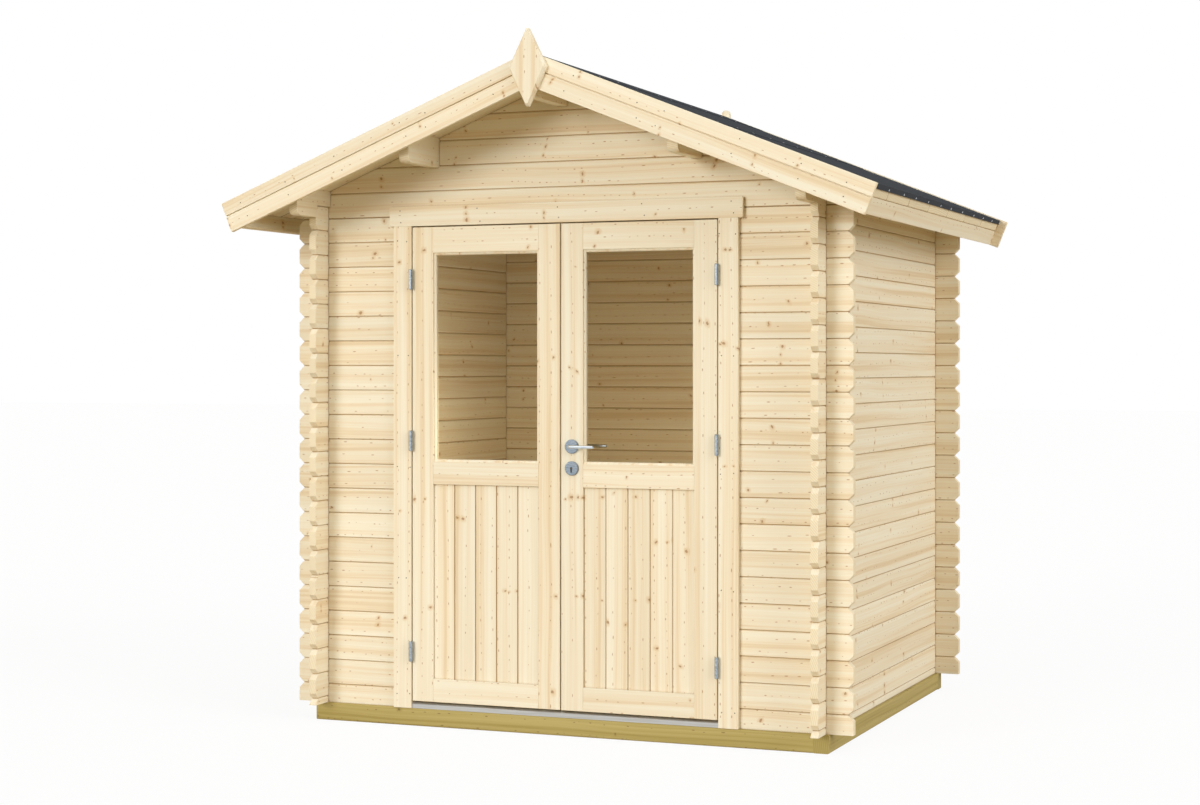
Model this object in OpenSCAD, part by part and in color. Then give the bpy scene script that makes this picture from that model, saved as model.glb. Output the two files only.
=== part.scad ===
// Garden shed with interlocking log walls, a gabled felt roof and glazed double doors.
// Front is -Y and up is +Z. The origin is on the ground, under the middle of the roof.

/* [Walls] */
// Outer width over the side walls
wall_w = 1988; // [1800:2:2600]
// Outer depth over the front and back walls
wall_d = 1660; // [1300:2:2600]
// Courses from the door head up to the wall plates
courses_over_door = 1; // [1:1:4]
// Height of one course
log_h = 93; // [91:1:105]
// Thickness of a log
log_t = 28; // [24:1:40]
// Reach of the log ends past the crossing wall
log_end = 98; // [60:1:120]
// Chamfer on the corners of a log end
end_chamfer = 20; // [8:1:21]
// Depth of the V groove between two courses
groove = 4; // [2:0.5:6]
// Side play of a log or purlin in its notch
notch_play = 0.5; // [0.2:0.1:1.5]

/* [Foundation and floor] */
// Height of the foundation beams
found_h = 66; // [45:1:120]
// Width of the foundation beams
found_t = 58; // [50:1:90]
// How far the beams stand proud of the walls
found_proud = 15; // [5:1:18]
// Rounding of the beams' long edges
found_r = 6; // [2:1:12]
// Width of a floor joist
joist_t = 45; // [35:1:70]
// Number of floor joists
joist_count = 3; // [2:1:5]
// Thickness of the floor boards
floor_t = 18; // [16:1:28]
// Gap between the floor boards and the walls
floor_play = 2; // [1:0.5:6]

/* [Roof] */
// Slope of the roof
pitch = 21.8; // [16:0.1:28]
// Overhang of the roof past the front wall
front_over = 298; // [230:1:420]
// Overhang of the roof past the back wall
back_over = 190; // [180:1:320]
// Overhang of the roof boards past the side walls
eave_over = 208; // [180:1:320]
// Thickness of the roof boards
deck_t = 46; // [30:1:60]
// Thickness of the roofing felt
felt_t = 4; // [2:0.5:6]
// Depth of the felt folded down over the eave
felt_fold = 14; // [8:1:25]
// Height of the outer wall face between the plate's seat and the roof boards
plate_rise = 45; // [40:1:90]
// Thickness of the wall plates
plate_t = 36; // [28:1:60]
// How far the plate ends hang down before the log ends
plate_drop = 45; // [10:1:46]
// Thickness of the purlins
purlin_t = 40; // [30:1:70]
// Height of the purlins at their middle
purlin_h = 102; // [80:1:140]
// Distance of the side purlins from the ridge
purlin_x = 518; // [350:1:600]
// Rounding of the purlin ends
purlin_r = 26; // [8:1:30]
// Distance from the purlin ends to the barge boards
purlin_set_back = 30; // [10:1:40]

/* [Roof edge boards] */
// Thickness of the barge and eave boards
edge_t = 18; // [14:1:28]
// Depth of the lower barge board and the eave board
edge_h = 60; // [40:1:110]
// How far the barge boards stand above the felt
barge_lip = 4; // [1:1:15]
// How far the barge boards run past the eave boards
barge_proud = 34; // [4:1:40]
// Width of the groove along the joint of the upper and lower barge boards
barge_groove = 4; // [2:0.5:8]
// Depth of that groove
barge_groove_d = 7; // [3:0.5:10]
// Gap between the two barge boards at the ridge
ridge_gap = 2; // [0.5:0.5:6]
// Width of the finial
finial_w = 140; // [80:1:220]
// Height of the finial
finial_h = 274; // [200:1:360]
// Thickness of the finial
finial_t = 24; // [16:1:40]
// Width of the finial's blunt tips
finial_tip = 9; // [4:1:20]
// Height of the finial's upright sides
finial_side = 8; // [4:1:30]
// Bevel around the face of the finial
finial_bevel = 9; // [3:1:14]
// Width of the strip that covers the barge boards' joint at the back
cover_w = 34; // [24:1:60]
// How far the cover strip stands above the barge boards
cover_rise = 26; // [10:1:40]

/* [Door frame] */
// Thickness of the door jambs
jamb_t = 36; // [28:1:60]
// Depth of the jambs and the head
jamb_d = 46; // [44:1:80]
// Reach of the door stop into the opening
stop_w = 12; // [8:1:20]
// Width of the casing boards
casing_w = 74; // [55:1:100]
// Thickness of the casing boards
casing_t = 18; // [14:1:24]
// Overhang of the head casing past the side casings
casing_over = 17; // [0:1:40]
// Height of the threshold
threshold_h = 23; // [12:1:40]
// How far the threshold reaches before the front wall
threshold_nose = 12; // [0:1:14]
// Chamfer along the threshold's front edge
threshold_chamfer = 7; // [2:1:10]

/* [Door leaves] */
// Width of a leaf
leaf_w = 597; // [480:1:650]
// Height of a leaf
leaf_h = 1767; // [1600:1:2050]
// Thickness of a leaf
leaf_t = 38; // [32:1:44]
// Gap under, over and beside the leaves
leaf_gap = 5; // [5:0.5:8]
// Gap where the two leaves meet
meet_gap = 6; // [5:0.5:10]
// Bevel across the meeting edges
meet_bevel = 4.5; // [4:0.5:8]
// How far the leaves lie behind the casing face
leaf_inset = 2; // [0:0.5:4]
// Width of the stiles
stile_w = 85; // [70:1:110]
// Height of the top rail
top_rail_h = 96; // [70:1:130]
// Height of the lock rail
lock_rail_h = 84; // [60:1:130]
// Height of the lock rail's lower edge above the leaf's foot
lock_rail_z = 810; // [600:1:880]
// Height of the bottom rail
bottom_rail_h = 86; // [60:1:160]
// Number of boards in the lower panel
board_count = 5; // [3:1:8]
// Thickness of the panel boards
board_t = 16; // [10:1:18]
// How far the panel boards lie behind the face of the leaf
board_inset = 9; // [5:1:14]
// Depth of the V groove between the panel boards
board_groove = 3; // [1:0.5:5]
// Thickness of the glass
glass_t = 4; // [3:1:8]
// Depth of the grooves that hold the glass and the panel
rebate = 8; // [5:1:14]
// Play of the glass and the panel in their grooves
rebate_play = 0.3; // [0.2:0.1:0.8]

/* [Door furniture] */
// Diameter of a hinge knuckle
knuckle_d = 16; // [12:1:22]
// Height of a hinge
hinge_h = 76; // [60:1:110]
// Chamfer on the outer ends of a hinge
knuckle_chamfer = 2; // [0.5:0.5:4]
// Diameter of a hinge pin
pin_d = 8; // [5:1:9]
// Radial play of a hinge pin
pin_play = 0.1; // [0.05:0.05:0.3]
// Thickness of a hinge wing
wing_t = 1.5; // [1:0.25:2]
// Depth of a hinge wing
wing_d = 36; // [24:1:40]
// Height of the lowest hinge's middle above the foot of the leaf
hinge_low = 185; // [100:1:300]
// Height of the middle hinge above the foot of the leaf
hinge_mid = 971; // [700:1:1100]
// Distance from the top of the leaf down to the highest hinge's middle
hinge_high_drop = 194; // [100:1:300]
// Gap between a knuckle and what it stands before
knuckle_gap = 0.3; // [0.2:0.1:1]
// Height of the lever above the foot of the leaf
lever_z = 958; // [820:1:1050]
// Distance from the lever down to the keyhole
key_drop = 79; // [60:1:100]
// Diameter of the roses
rose_d = 52; // [44:1:60]
// Thickness of the roses
rose_t = 8; // [5:1:12]
// Rounding of the roses' rims
rose_r = 3; // [1:0.5:4]
// Length of the lever from its turning axis
lever_l = 104; // [80:1:130]
// Diameter of the lever's bar
lever_d = 12; // [11:1:20]
// Radius of the lever's bend, to the middle of the bar
lever_bend = 20; // [14:1:26]
// Distance from the leaf to the lever's outer side
lever_reach = 52; // [40:1:65]
// Diameter of the spindle through the leaf
spindle_d = 9; // [7:1:10]
// Radial play of the lever in its roses and of the spindle in the leaf
lever_play = 0.6; // [0.3:0.1:1]

/* [Hidden] */

wood = "#ead6a8";
treated_wood = "#b3a56a";
felt_grey = "#3b4047";
steel_grey = "#8e979f";
satin_grey = "#b4b8bb";
pale_metal = "#c9c8c2";
clear_glass = "#cfdfdf80";

// A length that only carries a cut or a trimming prism clear of the faces it passes
clear = 10;

// Plan: the outer wall faces
half_w = wall_w / 2;
front_y = (front_over - back_over - wall_d) / 2;
back_y = front_y + wall_d;
tip_x = half_w + log_end;

// Heights: the door leaf's ends, the first joints of the offset courses, the joint that
// closes the door opening and the seat of the wall plates
base_z = found_h;
leaf_z = base_z + threshold_h + leaf_gap;
leaf_top = leaf_z + leaf_h;
head_z = leaf_top + leaf_gap;
front_first = log_h * 3 / 4;
side_first = log_h / 4;
notch_h = log_h / 4;
door_courses = ceil((head_z + jamb_t - base_z - front_first) / log_h);
courses = door_courses + courses_over_door;
gable_z = base_z + front_first + door_courses * log_h;
plate_z = base_z + side_first + courses * log_h;

// Roof: underside of the boards at the ridge, slope length of the boards and end planes
apex_z = plate_z + plate_rise + half_w * tan(pitch);
slope_l = (half_w + eave_over) / cos(pitch);
felt_q = deck_t + felt_t;
barge_front_y = front_y - front_over;
barge_back_y = back_y + back_over;
deck_y = [barge_front_y + edge_t, barge_back_y - edge_t];
purlin_y = [deck_y[0] + purlin_set_back, deck_y[1] - purlin_set_back];

// Door: the opening between the jambs and the places of the leaf's parts
open_x = leaf_w + meet_gap / 2 + leaf_gap;
cut_x = open_x + jamb_t;
leaf_y = front_y - casing_t + leaf_inset;
leaf_x = [meet_gap / 2, meet_gap / 2 + leaf_w];
pane_x = [leaf_x[0] + stile_w, leaf_x[1] - stile_w];
lock_z = [leaf_z + lock_rail_z, leaf_z + lock_rail_z + lock_rail_h];
panel_z = [leaf_z + bottom_rail_h, lock_z[0]];
pane_z = [lock_z[1], leaf_top - top_rail_h];
glass_y = leaf_y + (leaf_t - glass_t) / 2;

// Hinge and lever axes
hinge_x = open_x - leaf_gap / 2;
hinge_y = front_y - casing_t - knuckle_gap - knuckle_d / 2;
knuckle_split = 0.5;
pin_end = 4;
lever_x = leaf_x[0] + stile_w / 2;
axis_z = leaf_z + lever_z;
keyhole_d = 9;
keyhole_slot = [6, 15];

// Profiles are drawn in a plane and carried along an axis: u across, z up, or x and y in plan.
module along_x(x) { translate([x[0], 0, 0]) rotate([90, 0, 90]) linear_extrude(x[1] - x[0]) children(); }
module along_y(y) { translate([0, y[1], 0]) rotate([90, 0, 0]) linear_extrude(y[1] - y[0]) children(); }
module along_z(z) { translate([0, 0, z[0]]) linear_extrude(z[1] - z[0]) children(); }
module block(x, y, z) {
    translate([x[0], y[0], z[0]]) cube([x[1] - x[0], y[1] - y[0], z[1] - z[0]]);
}
module on_left() { mirror([1, 0, 0]) children(); }
module on_both_sides() {
    children();
    on_left() children();
}
module turned_to_back() { mirror([0, 1, 0]) children(); }

function reversed(list) = [for (i = [len(list) - 1:-1:0]) list[i]];
function grown(range, by) = [range[0] - by, range[1] + by];
function arc(centre, r, a0, a1, steps = 8) =
    [for (i = [0:steps]) let (a = a0 + (a1 - a0) * i / steps) centre + r * [cos(a), sin(a)]];

// Heights of the joints between courses that lie strictly between two levels
function joints(first, low, high) =
    [for (k = [0:courses * 2]) let (z = base_z + first + k * log_h) if (z > low + 0.01 && z < high - 0.01) z];
function course_lines(first, low, high) = concat([low], joints(first, low, high), [high]);

// A row of steps seen from the side as [inset, place]: each step is cut back by d at its two ends
function stepped_edge(marks, d, d_first) =
    [for (i = [0:len(marks) - 2])
        let (cut = i == 0 ? d_first : d)
        each concat(
            i == 0 && cut > 0 ? [[cut, marks[0]]] : [],
            [[0, marks[i] + cut], [0, marks[i + 1] - d], [d, marks[i + 1]]])];

// Outline between a and b with a stepped edge on each side that asks for one
module stepped_outline(a, b, marks, d, d_first, step_a = true, step_b = true) {
    edge = stepped_edge(marks, d, d_first);
    straight = [[0, marks[0]], [0, marks[len(marks) - 1]]];
    polygon(concat(
        [for (p = step_b ? edge : straight) [b - p[0], p[1]]],
        reversed([for (p = step_a ? edge : straight) [a + p[0], p[1]]])));
}

// Log walls: the elevation with chamfered log ends meets the section with V grooves.
module logs_along_x(x, y0, lines, from_joint, ends) {
    intersection() {
        along_y([y0, y0 + log_t])
            stepped_outline(x[0], x[1], lines, end_chamfer, from_joint ? end_chamfer : 0, ends[0], ends[1]);
        along_x(grown(x, clear))
            stepped_outline(y0, y0 + log_t, lines, groove, from_joint ? groove : 0);
    }
}
module logs_along_y(x0, y, lines) {
    intersection() {
        along_x([x0, x0 + log_t]) stepped_outline(y[0], y[1], lines, end_chamfer, 0);
        along_y(grown(y, clear)) stepped_outline(x0, x0 + log_t, lines, groove, 0);
    }
}

// Space below the roof boards, as the outline that trims gables, plates and purlins
module under_roof() {
    far_x = tip_x + clear;
    polygon([[-far_x, 0], [far_x, 0], [far_x, apex_z - far_x * tan(pitch)], [0, apex_z],
        [-far_x, apex_z - far_x * tan(pitch)]]);
}

// Notches of a front or back wall for the side logs, the plates and the purlins
module gable_wall_notches(y0, low, high) {
    y = grown([y0, y0 + log_t], clear);
    on_both_sides() {
        for (z = joints(front_first, low - log_h, min(high + log_h, plate_z)))
            block(grown([half_w - log_t, half_w], notch_play), y, [z - notch_h, z + notch_h]);
        block(grown([half_w - plate_t, half_w], notch_play), y, [plate_z, apex_z]);
    }
    for (x = [-purlin_x, 0, purlin_x])
        block(grown([x - purlin_t / 2, x + purlin_t / 2], notch_play), y,
            [purlin_foot(x), apex_z + clear]);
}
function roof_under(x) = apex_z - abs(x) * tan(pitch);
function purlin_foot(x) = roof_under(x) - purlin_h;

// A stretch of gable wall between two heights, with chamfered ends where asked
module gable_wall(x, y0, low, high, from_joint, ends) {
    difference() {
        intersection() {
            logs_along_x(x, y0, course_lines(front_first, low, high), from_joint, ends);
            along_y(grown([y0, y0 + log_t], clear)) under_roof();
        }
        gable_wall_notches(y0, low, high);
    }
}
module wall_beside_door(x, ends) {
    color(wood) gable_wall(x, front_y, base_z, gable_z, false, ends);
}
module front_wall_left() { wall_beside_door([-tip_x, -cut_x - notch_play], [true, false]); }
module front_wall_right() { wall_beside_door([cut_x + notch_play, tip_x], [false, true]); }
module front_gable() {
    color(wood) gable_wall([-tip_x, tip_x], front_y, gable_z, apex_z + log_h, true, [true, true]);
}
module back_wall() {
    color(wood) gable_wall([-tip_x, tip_x], back_y - log_t, base_z, apex_z + log_h, false, [true, true]);
}

// A side wall runs through both gable walls and is notched around its own joints.
module right_wall() {
    x = grown([half_w - log_t, half_w], clear);
    color(wood) difference() {
        logs_along_y(half_w - log_t, [front_y - log_end, back_y + log_end],
            course_lines(side_first, base_z, plate_z));
        for (z = joints(side_first, base_z, plate_z + log_h / 2), y = [front_y, back_y - log_t])
            block(x, grown([y, y + log_t], notch_play), [z - notch_h, z + notch_h]);
    }
}
module left_wall() { on_left() right_wall(); }

// Foundation: each beam butts against the side of the next one.
module beam_section(w) {
    r = found_r;
    translate([r, 0]) square([w - 2 * r, found_h]);
    translate([0, r]) square([w, found_h - 2 * r]);
    for (u = [r, w - r], z = [r, found_h - r]) translate([u, z]) circle(r, $fn = 32);
}
out_x = half_w + found_proud;
out_y = [front_y - found_proud, back_y + found_proud];
module foundation_front() {
    color(treated_wood) along_x([-out_x, out_x - found_t]) translate([out_y[0], 0]) beam_section(found_t);
}
module foundation_back() {
    color(treated_wood) along_x([-out_x + found_t, out_x])
        translate([out_y[1] - found_t, 0]) beam_section(found_t);
}
module foundation_right() {
    color(treated_wood) along_y([out_y[0], out_y[1] - found_t])
        translate([out_x - found_t, 0]) beam_section(found_t);
}
module foundation_left() {
    color(treated_wood) along_y([out_y[0] + found_t, out_y[1]]) translate([-out_x, 0]) beam_section(found_t);
}
module floor_joists() {
    bay = wall_w / (joist_count + 1);
    color(treated_wood) for (i = [1:joist_count])
        along_y([out_y[0] + found_t, out_y[1] - found_t])
            translate([-half_w + i * bay - joist_t / 2, 0]) square([joist_t, found_h]);
}
module floor_boards() {
    inside = half_w - log_t - floor_play;
    color(wood) difference() {
        block([-inside, inside], [front_y + log_t + floor_play, back_y - log_t - floor_play],
            [base_z, base_z + floor_t]);
        block(grown([-cut_x, cut_x], floor_play), [front_y, front_y + jamb_d + floor_play],
            grown([base_z, base_z + floor_t], clear));
    }
}

// Beams under the roof, with the lower corner of each end rounded off
function rounded_end(y, z, r) = arc([y + r, z + r], r, 180, 270);
function rounded_end_back(y, z, r) = arc([y - r, z + r], r, 270, 360);
module purlin(x) {
    z = purlin_foot(x);
    color(wood) intersection() {
        along_x([x - purlin_t / 2, x + purlin_t / 2])
            polygon(concat(
                [[purlin_y[0], apex_z]],
                rounded_end(purlin_y[0], z, purlin_r),
                rounded_end_back(purlin_y[1], z, purlin_r),
                [[purlin_y[1], apex_z]]));
        along_y(grown(purlin_y, clear)) under_roof();
    }
}
module left_purlin() { purlin(-purlin_x); }
module ridge_purlin() { purlin(0); }
module right_purlin() { purlin(purlin_x); }
module right_wall_plate() {
    foot_z = plate_z - plate_drop;
    step_y = grown([front_y - log_end, back_y + log_end], notch_play);
    color(wood) intersection() {
        along_x([half_w - plate_t, half_w])
            polygon(concat(
                [[purlin_y[0], apex_z]],
                rounded_end(purlin_y[0], foot_z, purlin_r),
                [[step_y[0], foot_z], [step_y[0], plate_z], [step_y[1], plate_z], [step_y[1], foot_z]],
                rounded_end_back(purlin_y[1], foot_z, purlin_r),
                [[purlin_y[1], apex_z]]));
        along_y(grown(purlin_y, clear)) under_roof();
    }
}
module left_wall_plate() { on_left() right_wall_plate(); }

// Roof layers lie on the slope: s runs down from the ridge and q stands square to the boards.
module on_slope() { translate([0, apex_z]) rotate(-pitch) children(); }
function ridge_s(q, gap = 0) = -q * tan(pitch) + gap;
module slope_layer(q, s_end, gap = 0) {
    on_slope() polygon([
        [ridge_s(q[0], gap), q[0]], [s_end, q[0]], [s_end, q[1]], [ridge_s(q[1], gap), q[1]]]);
}
module right_roof_boards() { color(wood) along_y(deck_y) slope_layer([0, deck_t], slope_l); }
module left_roof_boards() { on_left() right_roof_boards(); }
module right_roof_felt() {
    color(felt_grey) along_y(deck_y) on_slope() polygon([
        [ridge_s(deck_t), deck_t], [slope_l, deck_t], [slope_l, deck_t - felt_fold],
        [slope_l + felt_t, deck_t - felt_fold], [slope_l + felt_t, felt_q], [ridge_s(felt_q), felt_q]]);
}
module left_roof_felt() { on_left() right_roof_felt(); }
module right_eave_board() {
    color(wood) along_y(deck_y) on_slope() translate([slope_l - edge_t, -edge_h]) square([edge_t, edge_h]);
}
module left_eave_board() { on_left() right_eave_board(); }

// Barge boards in two rows close the roof's edge, with the finial over their joint at the ridge
// in front and a plain round-topped strip at the back.
module barge_boards(q) {
    along_y([barge_front_y, barge_front_y + edge_t]) slope_layer(q, slope_l + barge_proud, ridge_gap / 2);
}
module front_upper_barge_boards() {
    color(wood) on_both_sides() difference() {
        barge_boards([0, felt_q + barge_lip]);
        along_y([barge_front_y - clear, barge_front_y + barge_groove_d])
            slope_layer([-clear, barge_groove], slope_l + barge_proud + clear, -clear);
    }
}
module front_lower_barge_boards() { color(wood) on_both_sides() barge_boards([-edge_h, 0]); }
module back_upper_barge_boards() { turned_to_back() front_upper_barge_boards(); }
module back_lower_barge_boards() { turned_to_back() front_lower_barge_boards(); }
module finial_outline() {
    right = [[finial_tip / 2, -finial_h / 2], [finial_w / 2, -finial_side / 2],
        [finial_w / 2, finial_side / 2], [finial_tip / 2, finial_h / 2]];
    polygon(concat(right, -right));
}
module front_finial() {
    face = [1 - 2 * finial_bevel / finial_w, 1 - 2 * finial_bevel / finial_h];
    color(wood) translate([0, barge_front_y, apex_z]) rotate([90, 0, 0]) {
        linear_extrude(finial_t - finial_bevel) finial_outline();
        translate([0, 0, finial_t - finial_bevel])
            linear_extrude(finial_bevel, scale = face, slices = 1) finial_outline();
    }
}
module back_finial() {
    foot = apex_z - edge_h / cos(pitch);
    shoulder = apex_z + (felt_q + barge_lip) / cos(pitch) + cover_rise - cover_w / 2;
    color(wood) along_y([barge_back_y, barge_back_y + finial_t]) {
        translate([-cover_w / 2, foot]) square([cover_w, shoulder - foot]);
        translate([0, shoulder]) circle(d = cover_w, $fn = 48);
    }
}

// Door frame: jambs and head with a stop behind the leaves, casings on the outer face
stop_y = [leaf_y + leaf_t + leaf_gap, front_y + jamb_d];
module door_jambs() {
    color(wood) on_both_sides() along_z([base_z, head_z]) polygon([
        [open_x, front_y], [cut_x, front_y], [cut_x, stop_y[1]], [open_x - stop_w, stop_y[1]],
        [open_x - stop_w, stop_y[0]], [open_x, stop_y[0]]]);
}
module door_head() {
    color(wood) {
        block([-cut_x, cut_x], [front_y, stop_y[1]], [head_z, gable_z]);
        block(grown([-open_x, open_x], -stop_w), stop_y, [head_z - stop_w, head_z]);
    }
}
module door_threshold() {
    nose_y = front_y - threshold_nose;
    top = base_z + threshold_h;
    color(pale_metal) difference() {
        along_x([-open_x, open_x]) polygon([[nose_y, base_z], [stop_y[1], base_z], [stop_y[1], top],
            [nose_y + threshold_chamfer, top], [nose_y, top - threshold_chamfer]]);
        on_both_sides() block([open_x - stop_w, open_x + clear], grown(stop_y, clear),
            grown([base_z, base_z + threshold_h], clear));
    }
}
casing_y = [front_y - casing_t, front_y];
module door_side_casings() {
    color(wood) on_both_sides() block([open_x, open_x + casing_w], casing_y, [base_z, head_z]);
}
module door_head_casing() {
    reach = open_x + casing_w + casing_over;
    color(wood) block([-reach, reach], casing_y, [head_z, head_z + casing_w]);
}

// Door leaves: stiles and rails hold the glass above and the boards below in their grooves.
module pane(play = 0) {
    block(grown(pane_x, rebate + play), grown([glass_y, glass_y + glass_t], play),
        grown(pane_z, rebate + play));
}
module panel_space() {
    y = leaf_y + board_inset;
    block(grown(pane_x, rebate + rebate_play), grown([y, y + board_t], rebate_play),
        grown(panel_z, rebate + rebate_play));
}
module stiles() {
    foot = leaf_y + leaf_t;
    color(wood) difference() {
        along_z([leaf_z, leaf_top]) {
            polygon([[leaf_x[0], leaf_y], [pane_x[0], leaf_y], [pane_x[0], foot],
                [leaf_x[0] + meet_bevel, foot]]);
            translate([pane_x[1], leaf_y]) square([stile_w, leaf_t]);
        }
        pane(rebate_play);
        panel_space();
    }
}
module rails() {
    y = [leaf_y, leaf_y + leaf_t];
    color(wood) difference() {
        for (z = [[leaf_z, panel_z[0]], lock_z, [pane_z[1], leaf_top]]) block(pane_x, y, z);
        pane(rebate_play);
        panel_space();
    }
}
module boards() {
    x = grown(pane_x, rebate);
    y = [leaf_y + board_inset, leaf_y + board_inset + board_t];
    pitch_x = (pane_x[1] - pane_x[0]) / board_count;
    marks = concat([x[0]], [for (i = [1:board_count - 1]) pane_x[0] + i * pitch_x], [x[1]]);
    edge = stepped_edge(marks, board_groove, board_groove);
    color(wood) along_z(grown(panel_z, rebate)) polygon(concat(
        [for (p = edge) [p[1], y[0] + p[0]]],
        reversed([for (p = edge) [p[1], y[1] - p[0]]])));
}
module right_door_stiles() {
    color(wood) difference() {
        stiles();
        lever_bore(spindle_d + 2 * lever_play, leaf_y, leaf_t);
        key_slot(leaf_y, leaf_t);
    }
}
module left_door_stiles() { on_left() stiles(); }
module right_door_rails() { rails(); }
module left_door_rails() { on_left() rails(); }
module right_door_boards() { boards(); }
module left_door_boards() { on_left() boards(); }
module right_door_glass() { color(clear_glass) pane(); }
module left_door_glass() { on_left() right_door_glass(); }

// Hinges: the lower knuckle and pin belong to the frame, the upper knuckle to the leaf.
module at_hinges() {
    for (z = [hinge_low, hinge_mid, leaf_h - hinge_high_drop])
        translate([hinge_x, hinge_y, leaf_z + z]) children();
}
half_h = (hinge_h - knuckle_split) / 2;
module wing(z) {
    block([leaf_gap / 2 - wing_t, leaf_gap / 2], [0, knuckle_d / 2 + wing_d], z);
}
module knuckle() {
    r = knuckle_d / 2;
    rotate_extrude($fn = 48)
        polygon([[0, 0], [r - knuckle_chamfer, 0], [r, knuckle_chamfer], [r, half_h], [0, half_h]]);
}
module frame_half() {
    translate([0, 0, -hinge_h / 2]) knuckle();
    translate([0, 0, -hinge_h / 2]) cylinder(d = pin_d, h = hinge_h - pin_end, $fn = 48);
    wing([-hinge_h / 2, -hinge_h / 2 + half_h]);
}
module leaf_half() {
    difference() {
        union() {
            translate([0, 0, hinge_h / 2]) mirror([0, 0, 1]) knuckle();
            mirror([1, 0, 0]) wing([hinge_h / 2 - half_h, hinge_h / 2]);
        }
        translate([0, 0, -clear])
            cylinder(d = pin_d + 2 * pin_play, h = (hinge_h - pin_end) / 2 + clear, $fn = 48);
    }
}
module hinge_frame_halves() { color(steel_grey) on_both_sides() at_hinges() frame_half(); }
module right_door_hinge_halves() { color(steel_grey) at_hinges() leaf_half(); }
module left_door_hinge_halves() { on_left() right_door_hinge_halves(); }

// Lock: a rose on each face for the lever and one for the key
module lever_bore(d, y, depth) {
    translate([lever_x, y - clear, axis_z]) rotate([-90, 0, 0])
        cylinder(d = d, h = depth + 2 * clear, $fn = 48);
}
module key_slot(y, depth) {
    translate([lever_x, y - clear, axis_z - key_drop]) {
        rotate([-90, 0, 0]) cylinder(d = keyhole_d, h = depth + 2 * clear, $fn = 32);
        translate([-keyhole_slot[0] / 2, 0, -keyhole_slot[1]])
            cube([keyhole_slot[0], depth + 2 * clear, keyhole_slot[1]]);
    }
}
module rose(z) {
    translate([lever_x, leaf_y, z]) rotate([90, 0, 0]) rotate_extrude($fn = 64)
        polygon(concat([[0, 0], [rose_d / 2, 0]],
            arc([rose_d / 2 - rose_r, rose_t - rose_r], rose_r, 0, 90), [[0, rose_t]]));
}
module front_roses() {
    difference() {
        rose(axis_z);
        lever_bore(lever_d + 2 * lever_play, leaf_y - rose_t, rose_t);
    }
    difference() {
        rose(axis_z - key_drop);
        key_slot(leaf_y - rose_t, rose_t);
    }
}
module on_both_faces() {
    children();
    translate([0, 2 * leaf_y + leaf_t, 0]) mirror([0, 1, 0]) children();
}
module lock_roses() { color(satin_grey) on_both_faces() front_roses(); }
module lever_handle() {
    bar_y = leaf_y - lever_reach + lever_d / 2;
    bend_y = bar_y + lever_bend;
    bar_end = lever_l - lever_d / 2;
    translate([lever_x, 0, axis_z]) {
        translate([0, bend_y, 0]) rotate([-90, 0, 0])
            cylinder(d = lever_d, h = leaf_y - lever_play - bend_y, $fn = 48);
        translate([lever_bend, bend_y, 0]) rotate(180)
            rotate_extrude(angle = 90, $fn = 96) translate([lever_bend, 0]) circle(d = lever_d, $fn = 48);
        translate([lever_bend, bar_y, 0]) rotate([0, 90, 0])
            cylinder(d = lever_d, h = bar_end - lever_bend, $fn = 48);
        translate([bar_end, bar_y, 0]) sphere(d = lever_d, $fn = 48);
    }
}
module door_lever() {
    color(satin_grey) {
        on_both_faces() lever_handle();
        translate([lever_x, leaf_y - lever_reach / 2, axis_z]) rotate([-90, 0, 0])
            cylinder(d = spindle_d, h = leaf_t + lever_reach, $fn = 48);
    }
}

foundation_front();
foundation_right();
foundation_back();
foundation_left();
floor_joists();
floor_boards();
front_wall_left();
front_wall_right();
front_gable();
back_wall();
left_wall();
right_wall();
left_wall_plate();
right_wall_plate();
left_purlin();
ridge_purlin();
right_purlin();
left_roof_boards();
right_roof_boards();
left_roof_felt();
right_roof_felt();
front_upper_barge_boards();
front_lower_barge_boards();
back_upper_barge_boards();
back_lower_barge_boards();
left_eave_board();
right_eave_board();
front_finial();
back_finial();
door_jambs();
door_head();
door_threshold();
door_side_casings();
door_head_casing();
hinge_frame_halves();
left_door_stiles();
left_door_rails();
left_door_boards();
left_door_glass();
left_door_hinge_halves();
right_door_stiles();
right_door_rails();
right_door_boards();
right_door_glass();
right_door_hinge_halves();
lock_roses();
door_lever();
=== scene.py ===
import math

import bmesh
import bpy
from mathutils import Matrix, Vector


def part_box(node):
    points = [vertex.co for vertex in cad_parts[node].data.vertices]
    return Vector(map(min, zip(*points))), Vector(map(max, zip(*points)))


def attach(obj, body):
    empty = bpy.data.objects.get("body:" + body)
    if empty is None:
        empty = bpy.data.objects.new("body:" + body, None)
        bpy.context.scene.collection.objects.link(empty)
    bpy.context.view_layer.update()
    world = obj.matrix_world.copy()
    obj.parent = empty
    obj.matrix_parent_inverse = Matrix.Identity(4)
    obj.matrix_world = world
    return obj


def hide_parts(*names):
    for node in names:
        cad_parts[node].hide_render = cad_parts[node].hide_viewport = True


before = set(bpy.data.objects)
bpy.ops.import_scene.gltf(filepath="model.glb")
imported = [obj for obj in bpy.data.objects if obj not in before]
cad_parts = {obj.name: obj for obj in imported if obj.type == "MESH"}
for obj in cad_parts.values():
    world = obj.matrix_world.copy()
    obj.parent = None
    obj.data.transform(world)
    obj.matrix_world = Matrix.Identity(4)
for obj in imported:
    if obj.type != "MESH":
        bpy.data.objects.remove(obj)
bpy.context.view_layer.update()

# The garden shed: planed spruce logs, felt roof and glazed double doors. Front is -Y, up is +Z.
# Lengths here are in metres, apart from the patterns' sizes, which are in millimetres.
MM = 0.001

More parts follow.
